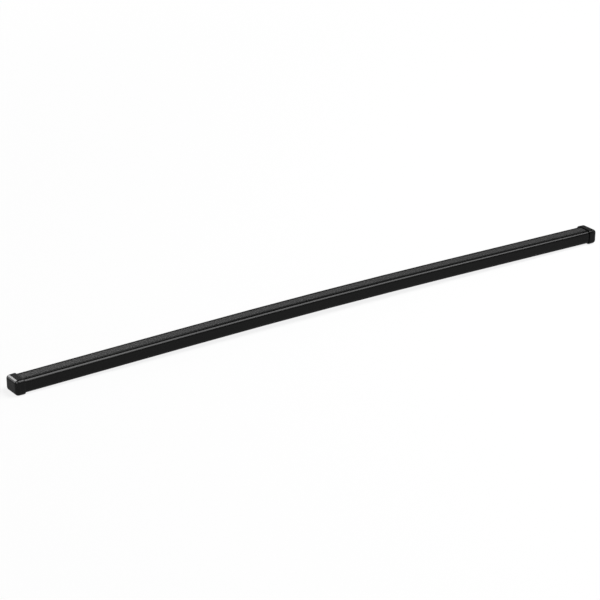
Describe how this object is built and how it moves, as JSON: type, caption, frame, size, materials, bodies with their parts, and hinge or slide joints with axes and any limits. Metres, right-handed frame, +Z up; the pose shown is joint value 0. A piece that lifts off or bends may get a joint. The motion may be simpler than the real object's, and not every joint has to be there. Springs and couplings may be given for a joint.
{
  "type": "roof rack crossbar",
  "caption": "Gently arched rectangular steel roof rack crossbar, black coated, with a rubber grip strip in its top and a moulded cap over each end; feet clamp it from below.",
  "frame": {"origin": "middle of the bar's length and width, on the surface that the two caps stand on", "axes": "+X along the bar towards the right-hand cap, +Y towards the back, +Z up"},
  "size_m": [1.1202, 0.0352, 0.0299],
  "materials": {
    "coated_steel": "black plastic coat, satin",
    "strip_rubber": "matt extruded rubber, dark grey",
    "cap_plastic": "moulded black plastic, fine satin"
  },
  "bodies": {
    "root": {"bar_tube": "coated_steel", "grip_strip": "strip_rubber", "end_cap_left": "cap_plastic", "end_cap_right": "cap_plastic"}
  },
  "joints": []
}
